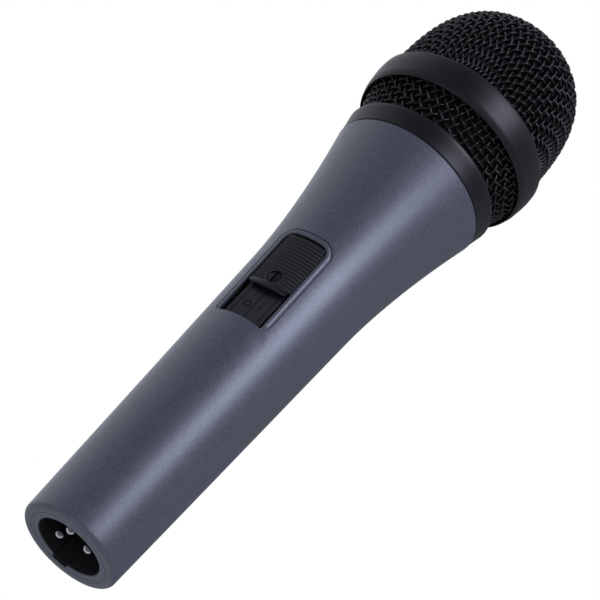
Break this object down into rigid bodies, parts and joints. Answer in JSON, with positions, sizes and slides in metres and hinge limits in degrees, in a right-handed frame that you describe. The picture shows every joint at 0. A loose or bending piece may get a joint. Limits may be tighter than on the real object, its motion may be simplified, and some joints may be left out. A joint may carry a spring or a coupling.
{
  "type": "dynamic microphone",
  "caption": "Hand-held stage microphone: tapered metal handle with a slide switch, woven-wire head that unscrews, and a male XLR socket in the tail.",
  "frame": {"origin": "centre of the tail face, on the axis of the microphone", "axes": "+Z along the axis from the tail to the top of the head; the slide switch faces -Y; +X is to the right when the switch is looked at with the head up"},
  "size_m": [0.048, 0.048, 0.18],
  "materials": {
    "handle_paint": "satin",
    "black_metal": "satin",
    "mesh_wire": "satin",
    "socket_plastic": "matte",
    "switch_plastic": "satin",
    "pin_plate": "polished",
    "bright_steel": "satin",
    "dark_steel": "satin",
    "spring_bronze": "satin",
    "contact_gold": "polished",
    "wire_sleeve": "satin",
    "circuit_board": "satin",
    "white_plastic": "satin",
    "mount_rubber": "matte",
    "seal_rubber": "matte",
    "coil_copper": "satin",
    "magnet_alloy": "satin",
    "film": "gloss",
    "cloth": "matte",
    "liner_foam": "matte"
  },
  "bodies": {
    "handle": {"handle_shell": "handle_paint", "xlr_insert": "socket_plastic", "contact_pin_1": "pin_plate", "contact_pin_2": "pin_plate", "contact_pin_3": "pin_plate", "insert_screw": "dark_steel", "ground_leaf": "spring_bronze", "tail_leads": "wire_sleeve", "switch_housing": "switch_plastic", "detent_spring": "spring_bronze", "switch_board": "circuit_board", "fixed_contacts": "contact_gold", "board_screws": "bright_steel", "capsule_leads": "wire_sleeve", "capsule_carrier": "socket_plastic", "carrier_screws": "bright_steel", "shock_mount_rear": "mount_rubber", "shock_mount_front": "mount_rubber"},
    "slider": {"switch_slider": "switch_plastic", "slide_carriage": "white_plastic", "moving_contact": "contact_gold"},
    "lock": {"lock_screw": "dark_steel"},
    "capsule": {"capsule_housing": "socket_plastic", "rear_chamber": "white_plastic", "hum_coil": "coil_copper", "magnet_pot": "bright_steel", "magnet": "magnet_alloy", "pole_plate": "bright_steel", "diaphragm_ring": "contact_gold", "front_grille": "dark_steel", "front_cloth": "cloth", "capsule_terminals": "contact_gold"},
    "membrane": {"diaphragm": "film", "voice_coil": "coil_copper"},
    "seal": {"collar_seal": "seal_rubber"},
    "head": {"collar_ring": "black_metal", "lower_mesh": "mesh_wire", "centre_ring": "black_metal", "dome_mesh": "mesh_wire", "foam_liner": "liner_foam"}
  },
  "joints": [
    {"name": "switch_slide", "type": "slide", "parent": "handle", "child": "slider", "axis": [0, 0, -1], "range_m": [0, 0.0092]},
    {"name": "lock_screw_turn", "type": "hinge", "parent": "slider", "child": "lock", "pos_m": [0, -0.0136, 0.0766], "axis": [0, -1, 0], "range_deg": [0, 90]},
    {"name": "head_lift", "type": "slide", "parent": "handle", "child": "seal", "axis": [0, 0, 1], "range_m": [0, 0.004]},
    {"name": "head_turn", "type": "hinge", "parent": "seal", "child": "head", "pos_m": [0, 0, 0.13], "axis": [0, 0, 1], "range_deg": [0, 1440]},
    {"name": "capsule_float", "type": "slide", "parent": "handle", "child": "capsule", "axis": [0, 0, 1], "range_m": [-0.0004, 0.0004], "stiffness_N_per_m": 2500, "deforming": ["shock_mount_rear", "shock_mount_front", "capsule_leads"]},
    {"name": "diaphragm_stroke", "type": "slide", "parent": "capsule", "child": "membrane", "axis": [0, 0, 1], "range_m": [-0.0003, 0.0003], "stiffness_N_per_m": 400}
  ],
  "couplings": [
    {"joint": "head_lift", "follows": "head_turn", "m_per_rad": 0.00015915}
  ]
}
